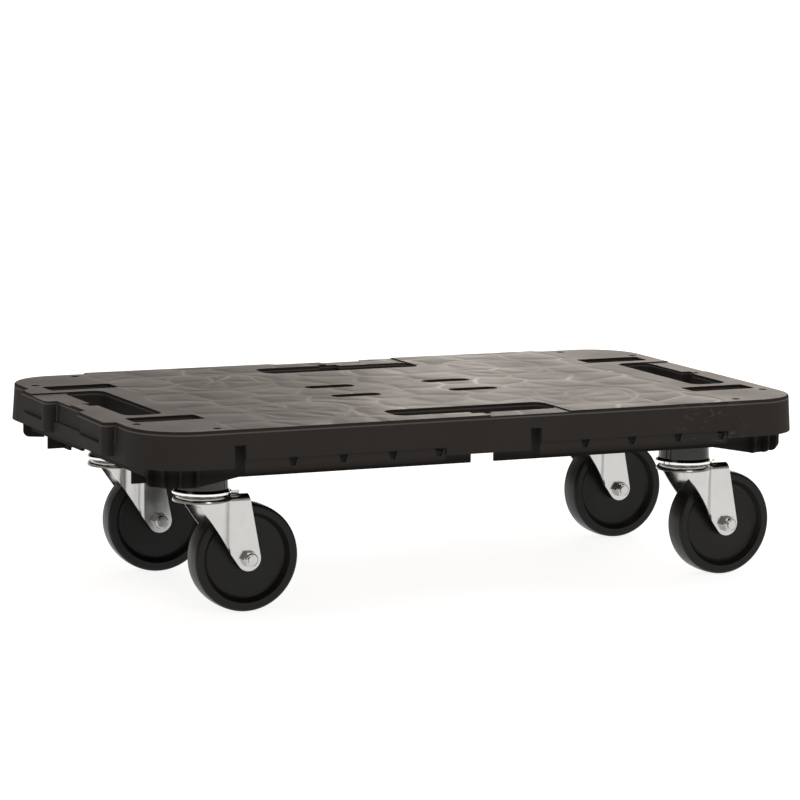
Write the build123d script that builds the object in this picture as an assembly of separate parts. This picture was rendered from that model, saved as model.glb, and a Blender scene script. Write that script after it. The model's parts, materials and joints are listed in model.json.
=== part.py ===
from build123d import *
import os
from math import cos, radians, sin, sqrt, tan

# Platform dolly: a moulded deck on four swivel casters.
# Millimetres. The floor is Z 0, X runs along the deck and Y away from its front side.

# Wheel and axle
WHEEL_RADIUS = 50.0
WHEEL_WIDTH = 24.0
RIM_WIDTH = 8.5
RIM_SLOPE = 4.0
RIM_ROUND = 3.0
TREAD_ROUND = 2.9
TREAD_CROWN = 0.5
WEB_THICKNESS = 11.0
HUB_RADIUS = 10.5
HUB_SLOPE = 1.5
HUB_LENGTH = 25.0
BUSH_WALL = 2.0
TUBE_RADIUS = 5.5
BOLT_RADIUS = 4.0
NUT_FLATS = 13.0
NUT_HEIGHT = 8.0
NUT_COLLAR = 2.2
NUT_COLLAR_RADIUS = 6.0
NUT_COLLAR_CHAMFER = 0.9
BOLT_HEAD_HEIGHT = 5.3
THREAD_END = 1.6
HUB_WASHER = 0.8

# Fork and swivel head
TRAIL = 40.0
FORK_SHEET = 2.5
CROWN_RADIUS = 26.5
CROWN_RISE = 5.6
CROWN_BEND = 6.0
CROWN_TAIL = 29.0
CREASE_BEND = 8.0
WHEEL_GAP = 3.4
LEG_END_RADIUS = 11.5
LEADING_ANGLE = 35.5
LEADING_ROUND = 10.0
TRAILING_ANGLE = 11.0
RACE_RADIUS = 17.0
RACE_GAP = 1.5
RACE_WALL = 1.2
VEE_ANGLE = 45.0
CUP_RIM_RADIUS = 26.8
CUP_RIM_HEIGHT = 1.9
CUP_MOUTH_RADIUS = 25.6
CUP_NECK_RADIUS = 24.2
CUP_NECK_RISE = 2.6
CUP_TOP_RADIUS = 23.4
CUP_HEIGHT = 18.0
CUP_WALL = 2.2
BALL_RADIUS = 3.0
BALL_COUNT = 10
KING_PIN_RADIUS = 6.0
PIN_HEAD_RADIUS = 9.5
PIN_HEAD_HEIGHT = 2.6
THRUST_WASHER = 1.5

# Mounting plate and its screws
PLATE_LENGTH = 76.0
PLATE_WIDTH = 48.0
PLATE_SHEET = 2.5
PLATE_CORNER = 6.0
SCREW_SPACING_X = 60.0
SCREW_SPACING_Y = 24.0
SCREW_RADIUS = 3.0
SCREW_HEAD_RADIUS = 6.0
SCREW_HEAD_HEIGHT = 3.6
SCREW_HEAD_CHAMFER = 1.6
SCREW_DEPTH = 15.0

# Where the casters stand on the deck, measured in from its ends and sides, and how each one is parked
CASTER_INSET_X = 85.7
CASTER_INSET_Y = 82.7
FRONT_LEFT_ANGLE = -1.6
REAR_LEFT_ANGLE = -5.9
REAR_RIGHT_ANGLE = 0.9
FRONT_RIGHT_ANGLE = 1.5
CASTERS = {
    "front_left": (-1, -1, FRONT_LEFT_ANGLE),
    "rear_left": (-1, 1, REAR_LEFT_ANGLE),
    "rear_right": (1, 1, REAR_RIGHT_ANGLE),
    "front_right": (1, -1, FRONT_RIGHT_ANGLE),
}

# Deck
DECK_LENGTH = 668.0
DECK_WIDTH = 378.0
CORNER_RADIUS = 50.0
PAD_DEPTH = 48.0
TOP_PLATE = 4.0
SKIRT_DEPTH = 34.0
SKIRT_WALL = 3.5
DRAFT_ANGLE = 3.5
TOP_EDGE_RADIUS = 2.0
RIB_PITCH = 48.7
RIB_WALL = 2.5
RIB_DEPTH = 45.0
RING_SETBACK = 16.0
RING_WALL = 3.0
GUSSET_RISE = 3.0
RING_COLUMN = 3
RING_ROW = 2
DIAGONAL_REACH = 2
DIAGONAL_ANGLE = 45.0

# Interlocking tabs on the left end and back: their places, measured in from the corners, and their form
END_TAB_INSET = 76.95
END_TAB_GAP = 68.1
END_TAB_REACH = 11.5
SIDE_TAB_INSET = 86.9
SIDE_TAB_GAP = 90.2
SIDE_TAB_REACH = 8.0
TAB_CORNER = 6.0
TAB_ROOT = 1.0
TAB_RAMP = 8.0
TAB_FALL = 2.5
FACE_SETBACK = 3.0
COLUMN_LENGTH = 13.0
COLUMN_ROUND = 4.0
SILL_RISE = 4.0
SILL_HEIGHT = 10.0
SILL_REACH = 3.5
SILL_GROOVE = 2.5
BEAD_RADIUS = 2.0
BEAD_OFFSET = 6.0

# Cut-outs in the front and right skirts that take the tabs of another dolly
CUTOUT_RISE = 7.0
RAIL_LAP = 0.8
RAIL_DROP = 5.5
NOTCH_WIDTH = 9.5
NOTCH_FOOT = 4.0
NOTCH_DEPTH = 8.0
NOTCH_MARGIN = 1.5
HOOK_LEAD = 5.0
HOOK_SLOT_WIDTH = 11.0
HOOK_SLOT_RISE = 20.0
OVERCUT = 1.0

# Openings in the deck
END_GRIP_LENGTH = 158.0
END_GRIP_WIDTH = 38.0
END_GRIP_INSET = 42.0
SIDE_GRIP_LENGTH = 164.0
SIDE_GRIP_WIDTH = 37.0
SIDE_GRIP_INSET = 43.0
GRIP_CORNER = 11.0
GRIP_COLLAR = 3.0
GRIP_COLLAR_DEPTH = 30.0
GRIP_NOTCH_WIDTH = 21.0
GRIP_NOTCH_DEPTH = 8.0
GRIP_STEP = 1.0
END_SLOT_LENGTH = 67.4
END_SLOT_WIDTH = 26.8
END_SLOT_INSET_X = 50.1
END_SLOT_INSET_Y = 83.8
END_SLOT_DEPTH = 28.0
STRAP_SLOT_LENGTH = 50.0
STRAP_SLOT_WIDTH = 16.0
STRAP_SLOT_X = 61.0
STRAP_SLOT_Y = 30.0
HOLE_RADIUS = 4.0
HOLE_BOSS_WALL = 3.0
HOLE_DEPTH = 20.0
SIDE_HOLE_INSET_X = 71.3
SIDE_HOLE_INSET_Y = 13.6
END_HOLE_INSET_X = 13.9
END_HOLE_INSET_Y = 60.5

# Caster pads and corner feet under the deck
PAD_WALL = 3.0
PAD_FLOOR = 5.0
PAD_LIP = 2.4
PAD_RIB_REACH = 67.6
PAD_RIB_DROP = 9.0
PAD_CROSS_REACH = 49.7
PAD_CROSS_WIDTH = 31.0
SCREW_BOSS_WALL = 3.0
FOOT_DEPTH = 52.5
FOOT_REACH_X = 52.0
FOOT_REACH_Y = 36.0
FOOT_RAMP = 41.0
FIN_COUNT = 4
FIN_FIRST_ANGLE = 26.0
FIN_STEP_ANGLE = 22.0
FIN_REACH = 8.0
FIN_ROOT = 12.0
FIN_CORNER = 6.0
FIN_WALL = 2.5

# Clearances
RUNNING_FIT = 0.05
SWIVEL_FIT = 0.1
SEAT_GAP = 0.05
PLATE_CLEARANCE = 0.5
BALL_CLEARANCE = 0.15

# Heights that follow from the sizes above
AXLE_Z = WHEEL_RADIUS
FRONT_EDGE = 2 * WHEEL_RADIUS + WHEEL_GAP
CROWN_TOP = FRONT_EDGE + CROWN_RISE
CROWN_BOTTOM = CROWN_TOP - FORK_SHEET
CUP_BOTTOM = CROWN_TOP + RACE_GAP
BALL_Z = CROWN_TOP + RACE_GAP / 2
PLATE_BOTTOM = CUP_BOTTOM + CUP_HEIGHT
PLATE_TOP = PLATE_BOTTOM + PLATE_SHEET
DECK_TOP = PLATE_TOP + PAD_DEPTH
CEILING = DECK_TOP - TOP_PLATE
SKIRT_BOTTOM = DECK_TOP - SKIRT_DEPTH
RIB_BOTTOM = DECK_TOP - RIB_DEPTH
PAD_BOTTOM = PLATE_TOP - PAD_LIP
FOOT_BOTTOM = DECK_TOP - FOOT_DEPTH
SILL_BOTTOM = SKIRT_BOTTOM + SILL_RISE
SILL_TOP = SILL_BOTTOM + SILL_HEIGHT
CUTOUT_TOP = SKIRT_BOTTOM + CUTOUT_RISE
CUTOUT_RISE_FLARE = (DECK_TOP - CUTOUT_TOP) * tan(radians(DRAFT_ANGLE))
FLARE = SKIRT_DEPTH * tan(radians(DRAFT_ANGLE))
LEG_INNER = HUB_LENGTH / 2 + HUB_WASHER + 2 * SEAT_GAP
LEG_OUTER = LEG_INNER + FORK_SHEET
FORK_REACH = TRAIL + 2 * LEG_END_RADIUS

# Places on the deck that follow from its size and the insets
HALF_LENGTH = DECK_LENGTH / 2
HALF_WIDTH = DECK_WIDTH / 2
CASTER_X = HALF_LENGTH - CASTER_INSET_X
CASTER_Y = HALF_WIDTH - CASTER_INSET_Y
END_TAB_LENGTH = HALF_WIDTH - END_TAB_INSET - END_TAB_GAP / 2
END_TAB_Y = (END_TAB_GAP + END_TAB_LENGTH) / 2
SIDE_TAB_LENGTH = HALF_LENGTH - SIDE_TAB_INSET - SIDE_TAB_GAP / 2
SIDE_TAB_X = (SIDE_TAB_GAP + SIDE_TAB_LENGTH) / 2
END_GRIP_X = HALF_LENGTH - END_GRIP_INSET
SIDE_GRIP_Y = HALF_WIDTH - SIDE_GRIP_INSET
END_SLOT_X = HALF_LENGTH - END_SLOT_INSET_X
END_SLOT_Y = HALF_WIDTH - END_SLOT_INSET_Y
HOLES = (
    (HALF_LENGTH - SIDE_HOLE_INSET_X, HALF_WIDTH - SIDE_HOLE_INSET_Y),
    (HALF_LENGTH - END_HOLE_INSET_X, HALF_WIDTH - END_HOLE_INSET_Y),
)


def block(x, y, z):
    """Box between the two limits given along each axis."""
    centre = Pos(sum(x) / 2, sum(y) / 2, sum(z) / 2)
    return centre * Box(abs(x[1] - x[0]), abs(y[1] - y[0]), abs(z[1] - z[0]))


def rod(radius, z):
    """Upright cylinder on the Z axis between two heights."""
    return Pos(0, 0, sum(z) / 2) * Cylinder(radius, z[1] - z[0])


def prism(plan, z):
    """Plan sketch raised between two heights."""
    return extrude(Pos(0, 0, z[0]) * plan, amount=z[1] - z[0])


def turned(points):
    """Solid of revolution about the Z axis from (radius, height) corners."""
    section = make_face(Polyline([(r, 0, z) for r, z in points], close=True))
    return revolve(section, axis=Axis.Z)


def plain_outline(grow):
    """Plan of the deck without its tabs, moved outwards by grow."""
    return RectangleRounded(DECK_LENGTH + 2 * grow, DECK_WIDTH + 2 * grow, CORNER_RADIUS + grow)


def tab_plan(length, reach):
    """Plan of one tab on an edge along X that faces +Y: steep round end at -X, slanted start at +X."""
    half = length / 2
    corner = (-half, reach)
    tip = (half - TAB_RAMP, reach - TAB_FALL)
    plan = make_face(Polyline((-half, -TAB_ROOT), corner, tip, (half, 0), (half, -TAB_ROOT), close=True))
    return fillet(plan.vertices().sort_by_distance(corner)[0], min(TAB_CORNER, reach / 2))


def edge_places():
    """Each edge with tabs: the place that brings the X axis to it, and the tabs' middle, length and reach."""
    return [
        (Pos(-HALF_LENGTH, 0) * Rot(0, 0, 90), END_TAB_Y, END_TAB_LENGTH, END_TAB_REACH),
        (Pos(0, HALF_WIDTH), SIDE_TAB_X, SIDE_TAB_LENGTH, SIDE_TAB_REACH),
    ]


def deck_skin():
    """Top plate with its tabs, and the drafted skirt, open below."""
    foot = Pos(0, 0, SKIRT_BOTTOM)
    skin = extrude(foot * plain_outline(FLARE), amount=SKIRT_DEPTH, taper=DRAFT_ANGLE)
    for place, middle, length, reach in edge_places():
        lip = prism(tab_plan(length, reach), (CEILING, DECK_TOP))
        skin += [place * Pos(side * middle, 0) * lip for side in (-1, 1)]
    rim = skin.faces().sort_by(Axis.Z)[-1].edges()
    skin = fillet(rim, TOP_EDGE_RADIUS)
    inside = foot * plain_outline(FLARE - SKIRT_WALL)
    return skin - extrude(inside, amount=SKIRT_DEPTH - TOP_PLATE, taper=DRAFT_ANGLE)


def tab_supports():
    """Below the tabs: their faces, a proud sill, and a column and a bead at each steep end."""
    pieces = []
    for place, middle, length, reach in edge_places():
        gap = 2 * middle - length
        sill_end = gap / 2 + TAB_RAMP - SILL_GROOVE
        pieces.append(place * block((-sill_end, gap / 2), (-TAB_ROOT, SILL_REACH), (SILL_BOTTOM, SILL_TOP)))
        tab = tab_plan(length, reach)
        face = tab_plan(length, reach - FACE_SETBACK)
        steep_end = Pos(-length / 2 + COLUMN_LENGTH / 2, 0) * Rectangle(COLUMN_LENGTH, 2 * reach)
        column = tab & steep_end
        inner_corner = column.vertices().sort_by_distance((-length / 2 + COLUMN_LENGTH, reach))[0]
        column = fillet(inner_corner, min(COLUMN_ROUND, reach / 2))
        bead = Pos(-length / 2 - BEAD_OFFSET, BEAD_RADIUS / 2) * rod(BEAD_RADIUS, (SILL_TOP, CEILING))
        for side in (-1, 1):
            spot = place * Pos(side * middle, 0)
            pieces.append(spot * prism(tab, (SILL_BOTTOM, SILL_TOP)))
            pieces.append(spot * prism(face, (SILL_TOP, CEILING)))
            pieces.append(spot * prism(column, (SILL_TOP, CEILING)))
            pieces.append(spot * bead)
    return pieces


def grip_plan(length, width, grow=0.0):
    """Plan of one grip hole along X: a rounded slot with a notch in the middle of its upper edge."""
    slot = RectangleRounded(length + 2 * grow, width + 2 * grow, GRIP_CORNER + grow)
    notch_reach = width / 2 + GRIP_NOTCH_DEPTH + grow
    notch = Pos(0, notch_reach / 2) * Rectangle(GRIP_NOTCH_WIDTH + 2 * grow, notch_reach)
    return slot + notch


def grips(grow=0.0):
    """Plans of the four grip holes, each with its notch towards the edge of the deck."""
    plans = []
    for side in (-1, 1):
        end = Pos(side * END_GRIP_X, 0) * Rot(0, 0, -90 * side)
        plans.append(end * grip_plan(END_GRIP_LENGTH, END_GRIP_WIDTH, grow))
        along = Pos(0, side * SIDE_GRIP_Y) * Rot(0, 0, 90 - 90 * side)
        plans.append(along * grip_plan(SIDE_GRIP_LENGTH, SIDE_GRIP_WIDTH, grow))
    return plans


def ring_plan(setback):
    """Rounded rectangle inside the deck's outline."""
    return RectangleRounded(DECK_LENGTH - 2 * setback, DECK_WIDTH - 2 * setback, CORNER_RADIUS - setback)


def rib_lines(half):
    """Places of the ribs that fit on each side of the middle, up to a half size."""
    count = int(half / RIB_PITCH)
    return [k * RIB_PITCH for k in range(-count, count + 1)]


def rib_rings():
    """Round ribs about four crossings of the grid, with a diagonal rib through each of them."""
    z = (RIB_BOTTOM, CEILING)
    ring = rod(RIB_PITCH + RIB_WALL / 2, z) - rod(RIB_PITCH - RIB_WALL / 2, z)
    reach = DIAGONAL_REACH * RIB_PITCH
    diagonal = Rot(0, 0, DIAGONAL_ANGLE) * block((-reach, reach), (-RIB_WALL / 2, RIB_WALL / 2), z)
    pieces = []
    for x in (-1, 1):
        for y in (-1, 1):
            place = Pos(x * RING_COLUMN * RIB_PITCH, y * RING_ROW * RIB_PITCH)
            inward = mirror(diagonal, Plane.XZ) if x * y > 0 else diagonal
            pieces += [place * ring, place * inward]
    return pieces


def ring_wall():
    """Deep wall round the rib field, deeper still at the corners, where it forms the feet."""
    band = ring_plan(RING_SETBACK) - ring_plan(RING_SETBACK + RING_WALL)
    corner = Pos(HALF_LENGTH, HALF_WIDTH) * Rectangle(2 * FOOT_REACH_X, 2 * FOOT_REACH_Y)
    foot = prism(band & corner, (FOOT_BOTTOM, RIB_BOTTOM))
    foot_x = HALF_LENGTH - FOOT_REACH_X
    ramp_foot = (foot_x - FOOT_RAMP, RIB_BOTTOM)
    ramp = make_face(Polyline((foot_x, RIB_BOTTOM), (foot_x, FOOT_BOTTOM), ramp_foot, close=True))
    foot += Pos(0, HALF_WIDTH - RING_SETBACK) * extrude(Plane.XZ * ramp, amount=RING_WALL)
    feet = foot + mirror(foot, Plane.XZ)
    return prism(band, (RIB_BOTTOM, CEILING)) + feet + mirror(feet, Plane.YZ)


def rib_field():
    """Ribs under the top plate: deep ring, grid and round ribs, and shallow gussets out to the skirt."""
    z = (RIB_BOTTOM, CEILING)
    half = RIB_WALL / 2
    ribs = [block((-HALF_LENGTH, HALF_LENGTH), (y - half, y + half), z) for y in rib_lines(HALF_WIDTH)]
    ribs += [block((x - half, x + half), (-HALF_WIDTH, HALF_WIDTH), z) for x in rib_lines(HALF_LENGTH)]
    deep = prism(ring_plan(RING_SETBACK), z)
    shallow = prism(ring_plan(SKIRT_WALL / 2), (SKIRT_BOTTOM + GUSSET_RISE, CEILING))
    grid = Part() + ribs
    field = (grid & (deep + shallow)) + ring_wall() + rib_rings()
    return field - [prism(plan, z) for plan in grips(GRIP_COLLAR / 2)]


def cutout_places():
    """Each edge with cut-outs: the place that brings the X axis to it, and the stretches along it."""
    edges = [
        (Pos(HALF_LENGTH, 0) * Rot(0, 0, 90), END_TAB_Y, END_TAB_LENGTH, HALF_WIDTH),
        (Pos(0, -HALF_WIDTH), SIDE_TAB_X, SIDE_TAB_LENGTH, HALF_LENGTH),
    ]
    for place, middle, length, half in edges:
        for side in (-1, 1):
            start = side * middle - length / 2 - HOOK_LEAD
            end = side * middle + length / 2
            notches = [x for x in rib_lines(half) if start + HOOK_SLOT_WIDTH < x < end]
            last = end - NOTCH_MARGIN - NOTCH_WIDTH / 2
            yield place, start, end, [min(x, last) for x in notches]


def rails():
    """Strip behind the raised edge of each cut-out, lapped on the inside of the skirt."""
    inside = CUTOUT_RISE_FLARE - SKIRT_WALL + RAIL_LAP
    return [place * block((start, end), (-inside, RING_WALL - inside), (SKIRT_BOTTOM - RAIL_DROP, CEILING))
            for place, start, end, _ in cutout_places()]


def cutouts():
    """Raised lower edge of the front and right skirts, with the hook slot and the notches of each stretch."""
    outside = -2 * FLARE
    inside = CUTOUT_RISE_FLARE - SKIRT_WALL + RAIL_LAP
    notch = make_face(Polyline((-NOTCH_WIDTH / 2, CUTOUT_TOP), (NOTCH_WIDTH / 2, CUTOUT_TOP),
                               (NOTCH_FOOT / 2, CUTOUT_TOP - NOTCH_DEPTH),
                               (-NOTCH_FOOT / 2, CUTOUT_TOP - NOTCH_DEPTH), close=True))
    wedge = extrude(Plane.XZ * notch, amount=-RING_SETBACK)
    cuts = []
    for place, start, end, notches in cutout_places():
        cuts.append(place * block((start, end), (outside, -inside), (SKIRT_BOTTOM - OVERCUT, CUTOUT_TOP)))
        cuts.append(place * block((start, start + HOOK_SLOT_WIDTH), (outside, RING_SETBACK),
                                  (SKIRT_BOTTOM - RAIL_DROP - OVERCUT, SKIRT_BOTTOM + HOOK_SLOT_RISE)))
        cuts += [place * Pos(x, 0) * wedge for x in notches]
    return cuts


def caster_pad():
    """Box under the deck that seats one mounting plate: lipped walls, a floor and screw bosses.

    Beyond it along +X stand a deeper rib and a cross wall.
    """
    half_x = PLATE_LENGTH / 2 + PLATE_CLEARANCE
    half_y = PLATE_WIDTH / 2 + PLATE_CLEARANCE
    outer = RectangleRounded(2 * (half_x + PAD_WALL), 2 * (half_y + PAD_WALL), PLATE_CORNER + PAD_WALL)
    inner = RectangleRounded(2 * half_x, 2 * half_y, PLATE_CORNER)
    pad = prism(outer, (PAD_BOTTOM, CEILING)) - prism(inner, (PAD_BOTTOM, CEILING))
    floor = prism(outer, (PLATE_TOP, PLATE_TOP + PAD_FLOOR))
    floor -= rod(PIN_HEAD_RADIUS + PLATE_CLEARANCE, (PLATE_TOP, PLATE_TOP + PAD_FLOOR))
    boss = rod(SCREW_RADIUS + SCREW_BOSS_WALL, (PLATE_TOP, PLATE_TOP + SCREW_DEPTH + PAD_FLOOR))
    bosses = [place * boss for place in screw_places()]
    deep = (PLATE_TOP - PAD_RIB_DROP, CEILING)
    rib = block((half_x, PAD_RIB_REACH), (-RIB_WALL / 2, RIB_WALL / 2), deep)
    half_cross = PAD_CROSS_WIDTH / 2
    cross = block((PAD_CROSS_REACH, PAD_CROSS_REACH + RIB_WALL), (-half_cross, half_cross), deep)
    return pad + floor + bosses + rib + cross


def screw_places():
    """Places of one caster's plate screws, about its swivel axis."""
    return [Pos(x * SCREW_SPACING_X / 2, y * SCREW_SPACING_Y / 2) for x in (-1, 1) for y in (-1, 1)]


def caster_places():
    """Place of each caster's swivel axis on the deck."""
    return {name: Pos(x * CASTER_X, y * CASTER_Y) for name, (x, y, _) in CASTERS.items()}


def caster_pads():
    """The four pads, each with its rib towards the end of the deck."""
    pad = caster_pad()
    return [Pos(x * CASTER_X, y * CASTER_Y) * Rot(0, 0, 90 - 90 * x) * pad for x, y, _ in CASTERS.values()]


def foot_fin():
    """Upright fin across the corner of the rib ring, along +X, round at its lower outer corner."""
    inner = CORNER_RADIUS - RING_SETBACK - FIN_ROOT
    outer = CORNER_RADIUS - RING_SETBACK + FIN_REACH
    tip = (outer, FOOT_BOTTOM)
    side = make_face(Polyline((inner, CEILING), (inner, FOOT_BOTTOM), tip, (outer, CEILING), close=True))
    side = fillet(side.vertices().sort_by_distance(tip)[0], min(FIN_CORNER, FIN_REACH))
    return extrude(Plane.XZ * side, amount=FIN_WALL / 2, both=True)


def foot_fins():
    """Fins round the four corners of the rib ring."""
    fin = foot_fin()
    centre = Pos(HALF_LENGTH - CORNER_RADIUS, HALF_WIDTH - CORNER_RADIUS)
    fins = [centre * Rot(0, 0, FIN_FIRST_ANGLE + k * FIN_STEP_ANGLE) * fin for k in range(FIN_COUNT)]
    fins += [mirror(shape, Plane.XZ) for shape in fins]
    return fins + [mirror(shape, Plane.YZ) for shape in fins]


def grip_steps():
    """Shallow step that lowers one half of each grip bar."""
    z = (DECK_TOP - GRIP_STEP, DECK_TOP + GRIP_STEP)
    end_half = (0, END_GRIP_LENGTH / 2)
    side_half = (0, SIDE_GRIP_LENGTH / 2)
    edge_x = HALF_LENGTH + END_TAB_REACH + FLARE
    edge_y = HALF_WIDTH + SIDE_TAB_REACH + FLARE
    steps = []
    for side in (-1, 1):
        steps.append(block((side * END_GRIP_X, side * edge_x), end_half, z))
        steps.append(block(side_half, (side * SIDE_GRIP_Y, side * edge_y), z))
    return steps


def deck():
    """The whole moulding."""
    places = caster_places()
    walls = [rib_field()] + rails() + tab_supports() + foot_fins() + caster_pads()
    walls += [prism(plan, (DECK_TOP - GRIP_COLLAR_DEPTH, CEILING)) for plan in grips(GRIP_COLLAR)]
    boss = rod(HOLE_RADIUS + HOLE_BOSS_WALL, (DECK_TOP - HOLE_DEPTH, CEILING))
    hole = rod(HOLE_RADIUS, (DECK_TOP - HOLE_DEPTH, DECK_TOP))
    slot = RectangleRounded(END_SLOT_LENGTH, END_SLOT_WIDTH, GRIP_COLLAR)
    collar = offset(slot, GRIP_COLLAR)
    strap = SlotOverall(STRAP_SLOT_LENGTH, STRAP_SLOT_WIDTH)
    strap_collar = offset(strap, GRIP_COLLAR)
    cuts = cutouts() + grip_steps()
    cuts += [prism(plan, (DECK_TOP - GRIP_COLLAR_DEPTH, DECK_TOP)) for plan in grips()]
    for x in (-1, 1):
        for y in (-1, 1):
            end = Pos(x * END_SLOT_X, y * END_SLOT_Y)
            middle = Pos(x * STRAP_SLOT_X, y * STRAP_SLOT_Y)
            walls.append(end * prism(collar, (DECK_TOP - END_SLOT_DEPTH, CEILING)))
            walls.append(middle * prism(strap_collar, (DECK_TOP - END_SLOT_DEPTH, CEILING)))
            cuts.append(end * prism(slot, (DECK_TOP - END_SLOT_DEPTH, DECK_TOP)))
            cuts.append(middle * prism(strap, (RIB_BOTTOM, DECK_TOP)))
            walls += [Pos(x * hx, y * hy) * boss for hx, hy in HOLES]
            cuts += [Pos(x * hx, y * hy) * hole for hx, hy in HOLES]
    pilot = rod(SCREW_RADIUS + SEAT_GAP, (PLATE_TOP, PLATE_TOP + SCREW_DEPTH + SEAT_GAP))
    for place in places.values():
        cuts += [place * spot * pilot for spot in screw_places()]
    return deck_skin() + walls - cuts


def mounting_plate():
    """Flat plate with its screw holes and the hole for the king pin."""
    plate = prism(RectangleRounded(PLATE_LENGTH, PLATE_WIDTH, PLATE_CORNER), (PLATE_BOTTOM, PLATE_TOP))
    plate -= rod(KING_PIN_RADIUS + SEAT_GAP, (PLATE_BOTTOM, PLATE_TOP))
    hole = rod(SCREW_RADIUS + SEAT_GAP, (PLATE_BOTTOM, PLATE_TOP))
    return plate - [place * hole for place in screw_places()]


def plate_screws():
    """Four pan-head screws through the plate into the pad."""
    shank = rod(SCREW_RADIUS, (PLATE_BOTTOM - SCREW_HEAD_HEIGHT, PLATE_TOP + SCREW_DEPTH))
    head = rod(SCREW_HEAD_RADIUS, (PLATE_BOTTOM - SCREW_HEAD_HEIGHT, PLATE_BOTTOM))
    head = chamfer(head.faces().sort_by(Axis.Z)[0].edges(), SCREW_HEAD_CHAMFER)
    return [place * (shank + head) for place in screw_places()]


def vee_size(grow):
    """Half width and half height of the vee-sided ring round the balls, its sides moved outwards by grow."""
    reach = BALL_RADIUS + BALL_CLEARANCE + grow
    return reach / cos(radians(VEE_ANGLE)), reach / sin(radians(VEE_ANGLE))


def vee_ring(grow=0.0):
    """Vee-sided ring round the balls' circle."""
    wide, tall = vee_size(grow)
    return turned([(RACE_RADIUS - wide, BALL_Z), (RACE_RADIUS, BALL_Z - tall),
                   (RACE_RADIUS + wide, BALL_Z), (RACE_RADIUS, BALL_Z + tall)])


def upper_race():
    """Pressed cup under the plate, flared to a thin rim at its mouth."""
    wide, tall = vee_size(CUP_WALL)
    lip_top = CUP_BOTTOM + CUP_RIM_HEIGHT
    bore = KING_PIN_RADIUS + SEAT_GAP
    roof = BALL_Z + tall
    inside = RACE_RADIUS - wide
    cup = turned([
        (bore, roof), (inside, roof), (inside, CUP_BOTTOM), (CUP_RIM_RADIUS, CUP_BOTTOM),
        (CUP_RIM_RADIUS, lip_top), (CUP_MOUTH_RADIUS, lip_top), (CUP_NECK_RADIUS, lip_top + CUP_NECK_RISE),
        (CUP_TOP_RADIUS, PLATE_BOTTOM), (bore, PLATE_BOTTOM),
    ])
    return cup - vee_ring()


def race_balls():
    """Ring of balls between the races."""
    ball = Sphere(BALL_RADIUS)
    step = 360 / BALL_COUNT
    return [Rot(0, 0, step * k) * Pos(RACE_RADIUS, 0, BALL_Z) * ball for k in range(BALL_COUNT)]


def king_pin():
    """Rivet through plate and crown, with a flat head at each end."""
    low = CROWN_BOTTOM - THRUST_WASHER - 2 * SEAT_GAP
    pin = rod(KING_PIN_RADIUS, (low, PLATE_TOP))
    pin += rod(PIN_HEAD_RADIUS, (PLATE_TOP, PLATE_TOP + PIN_HEAD_HEIGHT))
    return pin + rod(PIN_HEAD_RADIUS, (low - PIN_HEAD_HEIGHT, low))


def thrust_washer():
    """Washer between the crown and the lower head of the king pin."""
    z = (CROWN_BOTTOM - SEAT_GAP - THRUST_WASHER, CROWN_BOTTOM - SEAT_GAP)
    return rod(PIN_HEAD_RADIUS + THRUST_WASHER, z) - rod(KING_PIN_RADIUS + SWIVEL_FIT, z)


def on_leg_end(angle):
    """Point of the leg's round end in side view, by its angle about the axle."""
    return TRAIL + LEG_END_RADIUS * cos(radians(angle)), AXLE_Z + LEG_END_RADIUS * sin(radians(angle))


def fork_side():
    """Side view of the fork in X and Z: level edge in front, two straight edges down to the round leg end."""
    leading = on_leg_end(180 + LEADING_ANGLE)
    trailing = on_leg_end(TRAILING_ANGLE)
    lowest = on_leg_end((TRAILING_ANGLE + LEADING_ANGLE - 180) / 2)
    knee = (leading[0] - (FRONT_EDGE - leading[1]) * tan(radians(LEADING_ANGLE)), FRONT_EDGE)
    tail = (trailing[0] - (CROWN_TOP - trailing[1]) * tan(radians(TRAILING_ANGLE)), CROWN_TOP)
    edges = Polyline(leading, knee, (-FORK_REACH, FRONT_EDGE), (-FORK_REACH, CROWN_TOP), tail, trailing)
    edges += ThreePointArc(trailing, lowest, leading)
    side = make_face(edges)
    return fillet(side.vertices().sort_by_distance(knee)[0], LEADING_ROUND)


def fork_plan():
    """Plan of the fork: round in front of the swivel axis and flat-sided behind it, with a crease between."""
    plan = Circle(CROWN_RADIUS) + Pos(FORK_REACH / 2, 0) * Rectangle(FORK_REACH, 2 * LEG_OUTER)
    crease_x = sqrt(CROWN_RADIUS ** 2 - LEG_OUTER ** 2)
    creases = [plan.vertices().sort_by_distance((crease_x, side * LEG_OUTER))[0] for side in (-1, 1)]
    return fillet(creases, CREASE_BEND)


def hood(plan, top, bend):
    """Upright solid on a plan, with its top edge rounded."""
    solid = prism(plan, (AXLE_Z - 2 * LEG_END_RADIUS, top))
    return fillet(solid.faces().sort_by(Axis.Z)[-1].edges(), bend)


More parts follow.
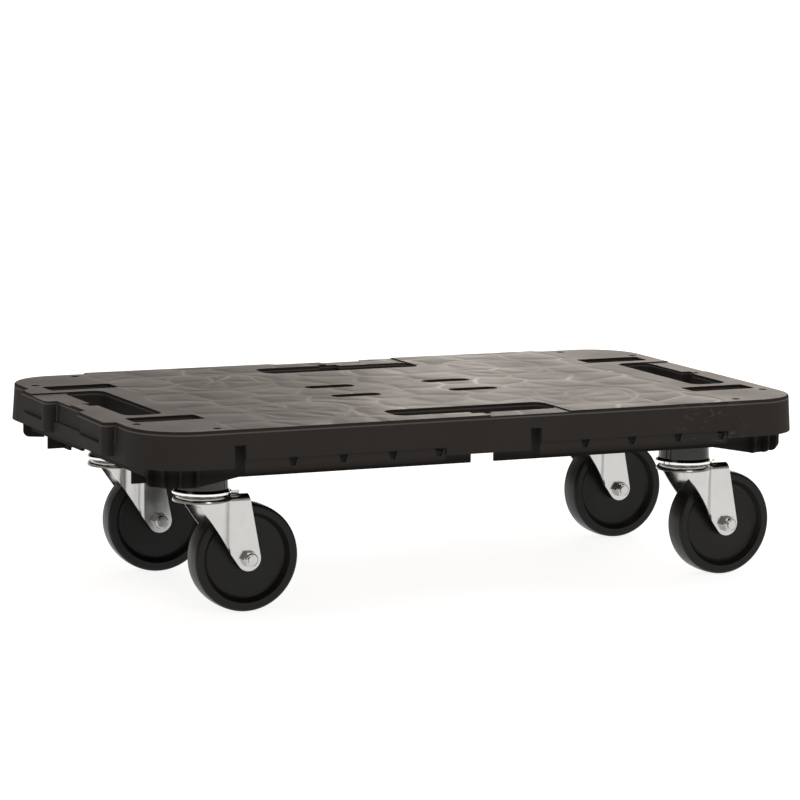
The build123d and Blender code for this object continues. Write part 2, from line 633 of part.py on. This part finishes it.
def fork():
    """Pressed fork: a rounded cap over the wheel with the lower race in it, and two legs down to the axle."""
    outside = hood(fork_plan(), CROWN_TOP, CROWN_BEND)
    inside = hood(offset(fork_plan(), -FORK_SHEET), CROWN_BOTTOM, CROWN_BEND - FORK_SHEET)
    body = (outside - inside) & extrude(Plane.XZ * fork_side(), amount=2 * CROWN_RADIUS, both=True)
    notch = RectangleRounded(2 * (FORK_REACH - CROWN_TAIL), 2 * (LEG_OUTER - CROWN_BEND), CROWN_BEND)
    body -= Pos(FORK_REACH, 0) * prism(notch, (CROWN_BOTTOM - CROWN_BEND, CROWN_TOP))
    body += vee_ring(RACE_WALL) & rod(CROWN_RADIUS, (FRONT_EDGE, CROWN_TOP))
    body -= vee_ring()
    body -= rod(KING_PIN_RADIUS + SWIVEL_FIT, (CROWN_BOTTOM, CROWN_TOP))
    return body - axle_rod(BOLT_RADIUS + SEAT_GAP, (-LEG_OUTER, LEG_OUTER))


def axle_rod(radius, y):
    """Cylinder on the axle's line between two places across the wheel."""
    return Pos(TRAIL, sum(y) / 2, AXLE_Z) * Rot(90, 0, 0) * Cylinder(radius, y[1] - y[0])


def axle_ring(outer, inner, y):
    """Tube on the axle's line."""
    return axle_rod(outer, y) - axle_rod(inner, y)


def hexagon(y):
    """Hexagonal prism on the axle's line."""
    plan = RegularPolygon(NUT_FLATS / 2, 6, major_radius=False)
    return Pos(TRAIL, y[1], AXLE_Z) * Rot(90, 0, 0) * extrude(plan, amount=y[1] - y[0])


def lock_nut(y):
    """Hexagon nut with a round collar on its outer side."""
    seat = y[0] + NUT_COLLAR
    collar = axle_rod(NUT_COLLAR_RADIUS, (y[0], y[1]))
    collar = chamfer(collar.faces().sort_by(Axis.Y)[0].edges(), NUT_COLLAR_CHAMFER)
    return hexagon((seat, y[1])) + collar - axle_rod(BOLT_RADIUS + SEAT_GAP, y)


def wheel():
    """Moulded wheel: crowned tread with rounded shoulders, raised rim, dished web and a long hub."""
    half = WHEEL_WIDTH / 2
    web = WEB_THICKNESS / 2
    rim = WHEEL_RADIUS - RIM_WIDTH
    bore = TUBE_RADIUS + RUNNING_FIT + BUSH_WALL + SEAT_GAP
    shoulder = (WHEEL_RADIUS - TREAD_CROWN, half - TREAD_ROUND)
    flank = (WHEEL_RADIUS - TREAD_CROWN - TREAD_ROUND, half)
    dish = (rim - RIM_SLOPE, web)
    edges = Polyline((WHEEL_RADIUS, 0), (bore, 0), (bore, HUB_LENGTH / 2), (HUB_RADIUS, HUB_LENGTH / 2),
                     (HUB_RADIUS + HUB_SLOPE, web), dish, (rim, half), flank)
    edges += TangentArc(flank, shoulder, tangent=(1, 0))
    edges += TangentArc((WHEEL_RADIUS, 0), shoulder, tangent=(0, 1))
    section = make_face(edges)
    section = fillet(section.vertices().sort_by_distance(dish)[0], RIM_ROUND)
    disc = revolve(section, axis=Axis.Y)
    disc += mirror(disc, Plane.XZ)
    return Pos(TRAIL, 0, AXLE_Z) * disc


def caster():
    """All pieces of one caster about its swivel axis, trailing towards +X: those on the deck come first."""
    half_hub = HUB_LENGTH / 2
    bush = TUBE_RADIUS + RUNNING_FIT
    nut_y = (-LEG_OUTER - NUT_HEIGHT, -LEG_OUTER)
    head_y = (LEG_OUTER, LEG_OUTER + BOLT_HEAD_HEIGHT)
    washer_y = (half_hub + SEAT_GAP, half_hub + SEAT_GAP + HUB_WASHER)
    washer = axle_ring(HUB_RADIUS - HUB_SLOPE, TUBE_RADIUS + SEAT_GAP, washer_y)
    fixed = {
        "mounting_plate": mounting_plate(),
        "plate_screws": plate_screws(),
        "king_pin": king_pin(),
        "upper_race": upper_race(),
        "race_balls": race_balls(),
    }
    turning = {
        "thrust_washer": thrust_washer(),
        "fork": fork(),
        "axle_tube": axle_ring(TUBE_RADIUS, BOLT_RADIUS + SEAT_GAP, (-LEG_INNER, LEG_INNER)),
        "axle_bolt": axle_rod(BOLT_RADIUS, (nut_y[0] - THREAD_END, head_y[0])) + hexagon(head_y),
        "axle_nut": lock_nut(nut_y),
        "hub_washers": [washer, mirror(washer, Plane.XZ)],
        "hub_bush": axle_ring(bush + BUSH_WALL, bush, (-half_hub, half_hub)),
        "wheel": wheel(),
    }
    return fixed, turning


def placed(shape, place):
    """Piece, or group of separate solids, moved to its place."""
    if isinstance(shape, list):
        return Compound([place * solid for item in shape for solid in item.solids()])
    return place * shape


def dolly():
    """Every node of the dolly, in the frame of the deck's centre."""
    nodes = {"deck": deck()}
    fixed, turning = caster()
    for name, (_, _, angle) in CASTERS.items():
        place = caster_places()[name]
        for piece, shape in fixed.items():
            nodes[f"{name}_{piece}"] = placed(shape, place)
        for piece, shape in turning.items():
            nodes[f"{name}_{piece}"] = placed(shape, place * Rot(0, 0, angle))
    return nodes


os.makedirs("parts", exist_ok=True)
parts = dolly()
extent = Compound(list(parts.values())).bounding_box()
centre = Pos(-extent.center().X, -extent.center().Y, 0)
print("deck centre in the frame:", -extent.center().X, -extent.center().Y, "size:", extent.size)
for node, shape in parts.items():
    export_step(centre * shape, f"parts/{node}.step")
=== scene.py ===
import json
import math

import bpy
from mathutils import Matrix, Vector


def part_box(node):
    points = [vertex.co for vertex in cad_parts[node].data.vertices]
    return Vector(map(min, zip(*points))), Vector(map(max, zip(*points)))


# Looks of the platform dolly: a material for every piece, a pale floor, soft light and the camera.
# Metres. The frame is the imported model's: +Z up, X along the deck, Y away from its front side.

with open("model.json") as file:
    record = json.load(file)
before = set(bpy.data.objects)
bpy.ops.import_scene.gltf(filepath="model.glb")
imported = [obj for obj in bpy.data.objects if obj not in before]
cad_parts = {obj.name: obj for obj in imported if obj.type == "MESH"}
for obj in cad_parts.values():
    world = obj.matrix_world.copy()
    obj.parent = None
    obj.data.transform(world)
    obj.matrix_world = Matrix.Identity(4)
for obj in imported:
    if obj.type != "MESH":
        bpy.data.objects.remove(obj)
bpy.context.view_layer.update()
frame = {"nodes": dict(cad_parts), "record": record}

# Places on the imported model
DECK_LOW, DECK_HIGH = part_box("deck")
DECK_TOP = DECK_HIGH.z
RIM_HEIGHT = 0.0020
RIM_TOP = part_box("front_left_upper_race")[0].z + RIM_HEIGHT
HOLE_MOUNT = next(m for m in frame["record"]["mounts"] if m["name"] == "end_hole_pattern")
DECK_CENTRE = Vector(HOLE_MOUNT["pos_m"])

# Marks on the deck's top, where the ribs below it show through: a bumped relief, with painted shade
# beside the rib lines and painted highlights along them
RIB_PITCH = 0.0487
RING_PLACE = (3 * RIB_PITCH, 2 * RIB_PITCH)
DIAGONAL_REACH = 2.2 * RIB_PITCH
MARKED_HALF_LENGTH = 0.247
MARKED_FADE = 0.02
MARK_WANDER = 0.030
CELL_UNEVENNESS = 0.6
VEIN_CORE = 0.0002
VEIN_REACH = 0.0036
PILLOW_REACH = 0.016
RELIEF_DEPTH = 0.0014

# Depths below the deck's top between which its finish changes: a rougher edge, a painted highlight
# line below it, painted light on lower ledges and painted shade on the underside
EDGE_BAND = (0.0001, 0.0006, 0.0019, 0.0024)
BEAD_HIGHLIGHT_BAND = (0.0024, 0.0028, 0.0034, 0.0042)
LIT_LEDGE_START = (0.004, 0.005)
UNDERSIDE_SHADE_START = (0.034, 0.042)

# Rubbed patch on the front skirt: half its length and its depth from the front, each full and gone
RUBBED_X = DECK_CENTRE.x + 0.231
RUBBED_HALF_LENGTH = (0.02, 0.045)
RUBBED_DEPTH = (0.004, 0.008)

# Colours of the deck's plastic, with its painted shade, painted highlights and painted light, and
# the tint of its reflections
SKIRT_COLOURS = ((0.0212, 0.0196, 0.0187), (0.0297, 0.0273, 0.0262))
# The top's colours: the plastic's mottled tone, given a warmer cast than the skirt's as painted warm
# light
TOP_TONE_AND_WARM_LIGHT_COLOURS = ((0.024, 0.0205, 0.0180), (0.034, 0.0290, 0.0255))
# Painted shade: darkens the top beside the rib lines, where its relief would be in shade
GROOVE_SHADE_COLOUR = (0.010, 0.0085, 0.0075)
# Painted highlight: lighter colour along the veins of the top's relief
VEIN_HIGHLIGHT_COLOUR = (0.034, 0.030, 0.026)
# Painted highlight: pale line on the skirt just below the top's edge
BEAD_HIGHLIGHT_COLOUR = (0.085, 0.080, 0.076)
# Painted shade: near black on faces low under the deck
UNDERSIDE_SHADE_COLOUR = (0.003, 0.0028, 0.0026)
# Painted light: pale grey on upward faces below the deck's top, where light falls on ledges
LIT_LEDGE_COLOUR = (0.10, 0.094, 0.088)
SCUFF_COLOUR = (0.11, 0.106, 0.10)
REFLECTION_TINT = (1.0, 0.90, 0.81)

# Colours of the other pieces, each from dark to pale; the cup's are a painted dark reflection
WHEEL_COLOURS = ((0.0055, 0.0055, 0.005), (0.010, 0.0095, 0.009))
ZINC_COLOURS = ((0.48, 0.48, 0.47), (0.60, 0.60, 0.585))
BOLT_COLOURS = ((0.44, 0.44, 0.43), (0.60, 0.60, 0.59))
# Painted reflection: the polished cup made near black, standing in for the dark surroundings it
# reflects
CUP_DARK_REFLECTION_COLOURS = ((0.030, 0.030, 0.029), (0.058, 0.058, 0.057))
BUSH_COLOURS = ((0.55, 0.53, 0.46), (0.66, 0.64, 0.57))
RIM_COLOUR = (0.82, 0.82, 0.81)

# Surroundings: a dim room that is bright beyond the dolly and to its right, and a pale floor
BRIGHT_DIRECTION = (0.615, 0.788, 0.0)
BRIGHT_SPREAD = (0.3, 1.0)
ROOM_LEVEL = 0.32
BRIGHT_LEVEL = 0.52
WARM = (1.0, 0.92, 0.845)
WHITE = (1.0, 1.0, 1.0)
FLOOR_COLOUR = (0.5, 0.5, 0.5)
FLOOR_GLOW = 0.87
FLOOR_REACH = 60.0

# Softboxes: name, place, point looked at, size, power in watts
SOFTBOXES = [
    ("back_right", (1.38, 1.5, 0.7), (0.1, 0, 0.15), 1.35, 9.5),
    ("back_left", (0.52, 1.55, 0.5), (-0.1, 0, 0.18), 0.7, 0.9),
    ("overhead", (0, 0, 2.6), (0, 0, 0), 2.2, 20),
    ("front", (0.1, -2.6, 1.5), (0, 0, 0.1), 0.9, 9),
]

# Camera, as the photograph was taken
IMAGE_PIXELS = 800
FOCAL_PIXELS = 3898.3
SENSOR_WIDTH = 36.0
CAMERA_AZIMUTH = -25.617
CAMERA_ELEVATION = 8.263
CAMERA_ROLL = 0.807
CAMERA_PLACE = DECK_CENTRE + Vector((-1.5804, -3.2936, 0.5185))
CAMERA_RANGE = 200

# Sockets of Blender's colour mix, whose names repeat, and the usual spread of its noise
MIX_FACTOR, MIX_LOW, MIX_HIGH, MIX_RESULT = 0, 6, 7, 2
NOISE_SPREAD = (0.3, 0.7)


def opaque(colour):
    """Red, green and blue with full alpha; an output as it is."""
    return colour if isinstance(colour, bpy.types.NodeSocket) else (*colour, 1)


class Graph:
    """Short way to build one material's nodes."""

    def __init__(self, name):
        self.material = bpy.data.materials.new(name)
        self.material.use_nodes = True
        self.tree = self.material.node_tree
        self.shader = self.tree.nodes["Principled BSDF"]
        self.place = self.node("ShaderNodeTexCoord").outputs["Object"]

    def node(self, kind, **settings):
        """New node, with its plain properties set."""
        made = self.tree.nodes.new(kind)
        for key, value in settings.items():
            setattr(made, key, value)
        return made

    def plug(self, value, socket):
        """Link an output to a socket, or set a plain value on it."""
        if isinstance(value, bpy.types.NodeSocket):
            self.tree.links.new(value, socket)
        else:
            socket.default_value = value

    def math(self, operation, a, b=0.0):
        """Sum, product or the like of one or two values."""
        made = self.node("ShaderNodeMath", operation=operation)
        for value, socket in zip((a, b), made.inputs):
            self.plug(value, socket)
        return made.outputs[0]

    def noise(self, scale, detail, roughness=0.5, stretch=None, distortion=0.0):
        """Fractal noise of about 0 to 1, with scale in features per metre."""
        made = self.node("ShaderNodeTexNoise")
        made.inputs["Scale"].default_value = scale
        made.inputs["Detail"].default_value = detail
        made.inputs["Roughness"].default_value = roughness
        made.inputs["Distortion"].default_value = distortion
        place = self.place
        if stretch:
            mapping = self.node("ShaderNodeMapping")
            mapping.inputs["Scale"].default_value = stretch
            self.plug(place, mapping.inputs["Vector"])
            place = mapping.outputs[0]
        self.plug(place, made.inputs["Vector"])
        return made.outputs["Fac"]

    def cells(self, x, y, size, unevenness):
        """Distance to the nearest border between uneven cells."""
        place = self.node("ShaderNodeCombineXYZ")
        self.plug(x, place.inputs[0])
        self.plug(y, place.inputs[1])
        made = self.node("ShaderNodeTexVoronoi", voronoi_dimensions="2D", feature="DISTANCE_TO_EDGE")
        made.inputs["Scale"].default_value = 1 / size
        made.inputs["Randomness"].default_value = unevenness
        self.plug(place.outputs[0], made.inputs["Vector"])
        return self.math("MULTIPLY", made.outputs["Distance"], size)

    def remap(self, value, low, high, to_low, to_high, smooth=False):
        """Value moved from one range to another and held inside it."""
        made = self.node("ShaderNodeMapRange")
        if smooth:
            made.interpolation_type = "SMOOTHSTEP"
        for item, socket in zip((value, low, high, to_low, to_high), made.inputs):
            self.plug(item, socket)
        return made.outputs[0]

    def rise(self, value, start, full, top=1.0, smooth=False):
        """0 up to start, and top from full on."""
        return self.remap(value, start, full, 0.0, top, smooth)

    def fall(self, value, full, end, smooth=False):
        """1 up to full, and 0 from end on."""
        return self.remap(value, full, end, 1.0, 0.0, smooth)

    def band(self, value, start, full, last, end):
        """1 between full and last, and 0 before start and after end."""
        return self.math("MULTIPLY", self.rise(value, start, full), self.fall(value, last, end))

    def vary(self, noise, low, high):
        """Value that follows a noise between two limits."""
        return self.remap(noise, *NOISE_SPREAD, low, high)

    def mix(self, factor, low, high):
        """Colour between two, each an output or plain red, green and blue."""
        made = self.node("ShaderNodeMix", data_type="RGBA")
        self.plug(factor, made.inputs[MIX_FACTOR])
        self.plug(opaque(low), made.inputs[MIX_LOW])
        self.plug(opaque(high), made.inputs[MIX_HIGH])
        return made.outputs[MIX_RESULT]

    def bump(self, height, depth, strength, under=None):
        """Normal disturbed by a height of 0 to 1 that stands for depth metres."""
        made = self.node("ShaderNodeBump")
        made.inputs["Strength"].default_value = strength
        made.inputs["Distance"].default_value = depth
        self.plug(height, made.inputs["Height"])
        if under is not None:
            self.plug(under, made.inputs["Normal"])
        return made.outputs[0]

    def axes(self, vector=None):
        """The three coordinates of a vector, or of the place, as separate outputs."""
        made = self.node("ShaderNodeSeparateXYZ")
        self.plug(self.place if vector is None else vector, made.inputs[0])
        return made.outputs

    def facing_up(self):
        """1 on level upward faces, 0 on walls."""
        normal = self.node("ShaderNodeNewGeometry").outputs["True Normal"]
        return self.rise(self.axes(normal)[2], 0.85, 0.98)

    def set(self, **values):
        """Plain values or outputs for the shader's sockets, named with underscores."""
        for key, value in values.items():
            self.plug(value, self.shader.inputs[key.replace("_", " ")])


def wandering(g, value, centre, scale):
    """Coordinate from the deck's centre, shifted to and fro by a noise."""
    shift = g.math("MULTIPLY", g.noise(scale, detail=2), MARK_WANDER)
    return g.math("SUBTRACT", g.math("ADD", value, shift), centre + MARK_WANDER / 2)


def rib_distance(g, x, y):
    """Distance on the deck's top to the nearest rib below it, along wandering lines."""
    x = wandering(g, x, DECK_CENTRE.x, 13)
    y = wandering(g, y, DECK_CENTRE.y, 11)
    across = g.math("SUBTRACT", g.math("ABSOLUTE", x), RING_PLACE[0])
    along = g.math("SUBTRACT", g.math("ABSOLUTE", y), RING_PLACE[1])
    squares = g.math("ADD", g.math("MULTIPLY", across, across), g.math("MULTIPLY", along, along))
    radius = g.math("SQRT", squares)
    ring = g.math("ABSOLUTE", g.math("SUBTRACT", radius, RIB_PITCH))
    diagonal = g.math("ABSOLUTE", g.math("MULTIPLY", g.math("ADD", across, along), math.sqrt(0.5)))
    diagonal = g.math("ADD", diagonal, g.rise(radius, RIB_PITCH, DIAGONAL_REACH, RIB_PITCH))
    nearest = g.cells(x, y, RIB_PITCH, CELL_UNEVENNESS)
    for distance in (ring, diagonal):
        nearest = g.math("MINIMUM", nearest, distance)
    marked_end = MARKED_HALF_LENGTH + MARKED_FADE
    plain_end = g.rise(g.math("ABSOLUTE", x), MARKED_HALF_LENGTH, marked_end, RIB_PITCH)
    return g.math("ADD", nearest, plain_end)


def deck_scuffs(g, x, y):
    """Scattered scratches, and strokes on the rubbed patch of the front skirt."""
    scratches = g.noise(60, detail=6, roughness=0.75, stretch=(1, 1, 3), distortion=1.5)
    places = g.rise(g.noise(5, detail=1), 0.5, 0.7)
    scratches = g.math("MULTIPLY", g.rise(scratches, 0.66, 0.8), places)
    strokes = g.noise(42, detail=4, roughness=0.6, stretch=(0.6, 1, 2.2), distortion=2.5)
    aside = g.math("ABSOLUTE", g.math("SUBTRACT", x, RUBBED_X))
    near_front = g.fall(y, *(DECK_LOW.y + depth for depth in RUBBED_DEPTH))
    rubbed = g.math("MULTIPLY", g.fall(aside, *RUBBED_HALF_LENGTH), near_front)
    return g.math("MAXIMUM", scratches, g.math("MULTIPLY", rubbed, g.rise(strokes, 0.56, 0.66)))


def deck_plastic():
    """Black moulded plastic: fine grain, scuffs, and on the top soft pillows between faint veins,
    with painted shade beside the veins, painted highlights along them and a painted warm cast; a
    painted highlight line under the top edge, painted light on lower ledges and painted shade on the
    underside.
    """
    g = Graph("deck_plastic")
    up = g.facing_up()
    x, y, z = g.axes()
    below = g.math("SUBTRACT", DECK_TOP, z)
    mottle = g.noise(18, detail=4)
    away = rib_distance(g, x, y)
    pillow = g.rise(away, 0.0, PILLOW_REACH, smooth=True)
    patchy = g.remap(g.noise(15, detail=4), 0.38, 0.64, 0.06, 1.0)
    vein_highlight = g.math("MULTIPLY", g.fall(away, VEIN_CORE, VEIN_REACH, smooth=True), patchy)

    skirt = g.mix(mottle, *SKIRT_COLOURS)
    # Painted highlight: a pale line on the skirt just below the top's edge
    skirt = g.mix(g.band(below, *BEAD_HIGHLIGHT_BAND), skirt, BEAD_HIGHLIGHT_COLOUR)
    # Painted shade: the deck's lower faces darkened towards near black
    skirt = g.mix(g.rise(below, *UNDERSIDE_SHADE_START, 0.75), skirt, UNDERSIDE_SHADE_COLOUR)
    # Top colour with a warmer cast than the skirt's: painted warm light over the plastic's mottled
    # tone
    top = g.mix(mottle, *TOP_TONE_AND_WARM_LIGHT_COLOURS)
    # Painted shade on the top, darkest at the rib lines and gone across each pillow
    top = g.mix(g.remap(pillow, 0.0, 1.0, 0.2, 0.0), top, GROOVE_SHADE_COLOUR)
    # Painted highlight along the veins, patchy over the top
    top = g.mix(g.math("MULTIPLY", vein_highlight, 0.9), top, VEIN_HIGHLIGHT_COLOUR)
    shade = g.mix(up, skirt, top)
    # Painted light: upward faces below the top made pale grey
    shade = g.mix(g.math("MULTIPLY", up, g.rise(below, *LIT_LEDGE_START, 0.9)), shade, LIT_LEDGE_COLOUR)
    shade = g.mix(g.math("MULTIPLY", deck_scuffs(g, x, y), 0.35), shade, SCUFF_COLOUR)

    skirt_gloss = g.vary(mottle, 0.68, 0.76)
    top_gloss = g.math("SUBTRACT", g.vary(mottle, 0.36, 0.44), g.math("MULTIPLY", vein_highlight, 0.10))
    gain = g.math("MULTIPLY", up, g.math("SUBTRACT", top_gloss, skirt_gloss))
    edge = g.math("MULTIPLY", g.band(below, *EDGE_BAND), g.math("SUBTRACT", 1.0, up))
    gloss = g.math("ADD", g.math("ADD", gain, skirt_gloss), g.math("MULTIPLY", edge, 0.4))

    waves = g.noise(16, detail=2, roughness=0.4)
    relief = g.math("ADD", g.math("MULTIPLY", waves, 0.5), g.math("MULTIPLY", pillow, 0.5))
    shallow = g.bump(g.math("MULTIPLY", relief, up), RELIEF_DEPTH, 1.0)
    grain = g.bump(g.noise(1500, detail=2), 0.00006, 0.35, under=shallow)
    g.set(Base_Color=shade, Roughness=gloss, Normal=grain, Specular_IOR_Level=0.11,
          Specular_Tint=opaque(REFLECTION_TINT))
    return g.material


def wheel_plastic():
    """Black moulded wheel, glossier than the deck."""
    g = Graph("wheel_plastic")
    mottle = g.noise(30, detail=4)
    grain = g.noise(1200, detail=2)
    g.set(Base_Color=g.mix(mottle, *WHEEL_COLOURS), Roughness=g.vary(mottle, 0.26, 0.40),
          Normal=g.bump(grain, 0.00005, 0.3), Specular_IOR_Level=0.2)
    return g.material


def plated_steel(name, colours, smoothest, roughest):
    """Bright plated steel with cloudy variation and a fine drawn grain."""
    g = Graph(name)
    cloud = g.noise(60, detail=5, distortion=0.4)
    grain = g.noise(900, detail=3, stretch=(1, 1, 0.08))
    g.set(Base_Color=g.mix(cloud, *colours), Roughness=g.vary(cloud, smoothest, roughest),
          Normal=g.bump(grain, 0.00003, 0.25), Metallic=1.0)
    return g.material


def race_steel():
    """Polished race: a pressed cup painted near black as a painted dark reflection, with a bright
    turned rim.
    """
    g = Graph("race_chrome")
    cloud = g.noise(60, detail=4, distortion=0.4)
    grain = g.noise(700, detail=2, stretch=(0.08, 0.08, 1))
    rim = g.fall(g.axes()[2], RIM_TOP, RIM_TOP + 0.0004)
    g.set(Base_Color=g.mix(rim, g.mix(cloud, *CUP_DARK_REFLECTION_COLOURS), RIM_COLOUR),
          Roughness=g.vary(cloud, 0.08, 0.15), Normal=g.bump(grain, 0.00002, 0.2), Metallic=1.0)
    return g.material


def bush_plastic():
    """Pale bearing plastic."""
    g = Graph("bush_plastic")
    cloud = g.noise(80, detail=3)
    g.set(Base_Color=g.mix(cloud, *BUSH_COLOURS), Roughness=g.vary(cloud, 0.4, 0.5))
    return g.material


def dress_nodes():
    """Give every node the material of its slot."""
    finishes = {
        "deck_plastic": deck_plastic(),
        "wheel_plastic": wheel_plastic(),
        "zinc_steel": plated_steel("zinc_steel", ZINC_COLOURS, 0.15, 0.22),
        "race_chrome": race_steel(),
        "bolt_steel": plated_steel("bolt_steel", BOLT_COLOURS, 0.15, 0.25),
        "bush_plastic": bush_plastic(),
    }
    for part in frame["record"]["subparts"]:
        mesh = frame["nodes"][part["node"]].data
        mesh.materials.clear()
        mesh.materials.append(finishes[part["material_slot"]])


def floor():
    """Plain pale floor that glows a little, wide enough to fill the view."""
    mesh = bpy.data.meshes.new("floor")
    corners = [(-1, -1), (1, -1), (1, 1), (-1, 1)]
    mesh.from_pydata([(FLOOR_REACH * x, FLOOR_REACH * y, 0) for x, y in corners], [], [(0, 1, 2, 3)])
    plane = bpy.data.objects.new("floor", mesh)
    bpy.context.scene.collection.objects.link(plane)
    g = Graph("floor")
    g.set(Base_Color=opaque(FLOOR_COLOUR), Roughness=0.9, Specular_IOR_Level=0.0,
          Emission_Color=opaque(WHITE), Emission_Strength=FLOOR_GLOW)
    mesh.materials.append(g.material)


def softbox(name, place, aim, size, power):
    """Square area light that looks at a point."""
    data = bpy.data.lights.new(name, "AREA")
    data.size = size
    data.energy = power
    data.color = WARM
    lamp = bpy.data.objects.new(name, data)
    lamp.location = place
    lamp.rotation_euler = (Vector(aim) - Vector(place)).to_track_quat("-Z", "Y").to_euler()
    bpy.context.scene.collection.objects.link(lamp)


def surroundings():
    """Dim room about the dolly, bright beyond it and to its right."""
    world = bpy.data.worlds.new("studio")
    world.use_nodes = True
    tree = world.node_tree
    sky = tree.nodes["Background"]
    sky.inputs["Color"].default_value = opaque(WARM)
    direction = tree.nodes.new("ShaderNodeTexCoord")
    facing = tree.nodes.new("ShaderNodeVectorMath")
    facing.operation = "DOT_PRODUCT"
    facing.inputs[1].default_value = BRIGHT_DIRECTION
    level = tree.nodes.new("ShaderNodeMapRange")
    level.interpolation_type = "SMOOTHSTEP"
    for value, socket in zip((*BRIGHT_SPREAD, ROOM_LEVEL, BRIGHT_LEVEL), list(level.inputs)[1:5]):
        socket.default_value = value
    tree.links.new(direction.outputs["Generated"], facing.inputs[0])
    tree.links.new(facing.outputs["Value"], level.inputs[0])
    tree.links.new(level.outputs[0], sky.inputs["Strength"])
    bpy.context.scene.world = world


def camera():
    """Camera at the photograph's viewpoint."""
    data = bpy.data.cameras.new("camera")
    data.sensor_width = SENSOR_WIDTH
    data.lens = FOCAL_PIXELS / IMAGE_PIXELS * SENSOR_WIDTH
    data.clip_end = CAMERA_RANGE
    eye = bpy.data.objects.new("camera", data)
    turn = Matrix.Rotation(math.radians(CAMERA_AZIMUTH), 4, "Z")
    tilt = Matrix.Rotation(math.pi / 2 - math.radians(CAMERA_ELEVATION), 4, "X")
    roll = Matrix.Rotation(math.radians(CAMERA_ROLL), 4, "Z")
    eye.matrix_world = Matrix.Translation(CAMERA_PLACE) @ turn @ tilt @ roll
    bpy.context.scene.collection.objects.link(eye)
    bpy.context.scene.camera = eye


dress_nodes()
floor()
surroundings()
for box in SOFTBOXES:
    softbox(*box)
camera()
bpy.context.scene.view_settings.view_transform = "Standard"
